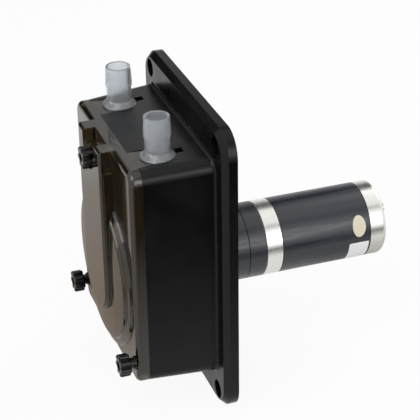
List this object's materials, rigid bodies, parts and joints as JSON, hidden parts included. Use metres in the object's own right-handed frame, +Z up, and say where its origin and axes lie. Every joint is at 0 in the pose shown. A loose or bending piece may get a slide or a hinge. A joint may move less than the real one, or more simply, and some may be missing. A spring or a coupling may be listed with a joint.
{
  "type": "peristaltic pump head",
  "caption": "Panel-mounted peristaltic pump head with a smoked cover, a roller rotor, hose barbs and a round planetary gearmotor.",
  "frame": {"origin": "on the drive axis, in the rear face of the mounting flange that meets the panel", "axes": "+Y along the drive axis from the panel face back towards the motor, so the cover faces -Y; +X to the right seen from the front; +Z up, along the port fittings"},
  "size_m": [0.16, 0.2129, 0.2065],
  "materials": {
    "housing_plastic": "satin gloss black",
    "cover_polycarbonate": "clear smoked brown, glossy",
    "knob_plastic": "gloss black",
    "port_plastic": "milky translucent",
    "rotor_plastic": "matte dark grey",
    "roller_plastic": "satin off-white",
    "tube_rubber": "translucent amber",
    "zinc_steel": "bright zinc",
    "bearing_steel": "ground",
    "black_enamel": "satin blue-black",
    "turned_aluminium": "turned bright",
    "brass": "plain"
  },
  "bodies": {
    "base": {"pump_housing": "housing_plastic", "threaded_inserts": "brass", "drive_screws": "zinc_steel", "pump_tube": "tube_rubber", "port_left": "port_plastic", "port_right": "port_plastic", "output_bearing": "bearing_steel", "gearbox_front": "black_enamel", "gearbox_rear": "black_enamel", "adapter_ring": "turned_aluminium", "motor_can": "black_enamel", "motor_end_cap": "turned_aluminium", "cap_screws": "zinc_steel", "terminal_blocks": "knob_plastic", "terminals": "brass"},
    "cover": {"front_cover": "cover_polycarbonate", "knob_washers": "knob_plastic"},
    "top_thumb_screw": {"knob_top": "knob_plastic", "stud_top": "zinc_steel"},
    "left_thumb_screw": {"knob_left": "knob_plastic", "stud_left": "zinc_steel"},
    "right_thumb_screw": {"knob_right": "knob_plastic", "stud_right": "zinc_steel"},
    "rotor": {"rotor_carrier": "rotor_plastic", "rotor_front_plate": "rotor_plastic", "rotor_screws": "zinc_steel", "roller_pins": "zinc_steel", "output_shaft": "zinc_steel", "shaft_key": "zinc_steel", "shaft_washer": "zinc_steel", "shaft_screw": "zinc_steel"},
    "roller_1": {"roller_1": "roller_plastic", "roller_bushes_1": "brass"},
    "roller_2": {"roller_2": "roller_plastic", "roller_bushes_2": "brass"},
    "roller_3": {"roller_3": "roller_plastic", "roller_bushes_3": "brass"},
    "roller_4": {"roller_4": "roller_plastic", "roller_bushes_4": "brass"}
  },
  "joints": [
    {"name": "rotor_spin", "type": "hinge", "parent": "base", "child": "rotor", "pos_m": [0, -0.0388, 0], "axis": [0, 1, 0], "continuous": true},
    {"name": "cover_release", "type": "slide", "parent": "base", "child": "cover", "axis": [0, -1, 0], "range_m": [0, 0.06]},
    {"name": "top_knob_turn", "type": "hinge", "parent": "cover", "child": "top_thumb_screw", "pos_m": [0, -0.0705, 0.0836], "axis": [0, -1, 0], "continuous": true},
    {"name": "left_knob_turn", "type": "hinge", "parent": "cover", "child": "left_thumb_screw", "pos_m": [-0.0565, -0.0705, -0.042], "axis": [0, -1, 0], "continuous": true},
    {"name": "right_knob_turn", "type": "hinge", "parent": "cover", "child": "right_thumb_screw", "pos_m": [0.0565, -0.0705, -0.042], "axis": [0, -1, 0], "continuous": true},
    {"name": "roller_1_spin", "type": "hinge", "parent": "rotor", "child": "roller_1", "pos_m": [0.0331, -0.0388, 0], "axis": [0, 1, 0], "continuous": true},
    {"name": "roller_2_spin", "type": "hinge", "parent": "rotor", "child": "roller_2", "pos_m": [0, -0.0388, 0.0331], "axis": [0, 1, 0], "continuous": true},
    {"name": "roller_3_spin", "type": "hinge", "parent": "rotor", "child": "roller_3", "pos_m": [-0.0331, -0.0388, 0], "axis": [0, 1, 0], "continuous": true},
    {"name": "roller_4_spin", "type": "hinge", "parent": "rotor", "child": "roller_4", "pos_m": [0, -0.0388, -0.0331], "axis": [0, 1, 0], "continuous": true}
  ],
  "couplings": [
    {"joint": "roller_1_spin", "follows": "rotor_spin", "ratio": -3.7583},
    {"joint": "roller_2_spin", "follows": "rotor_spin", "ratio": -3.7583},
    {"joint": "roller_3_spin", "follows": "rotor_spin", "ratio": -3.7583},
    {"joint": "roller_4_spin", "follows": "rotor_spin", "ratio": -3.7583}
  ]
}
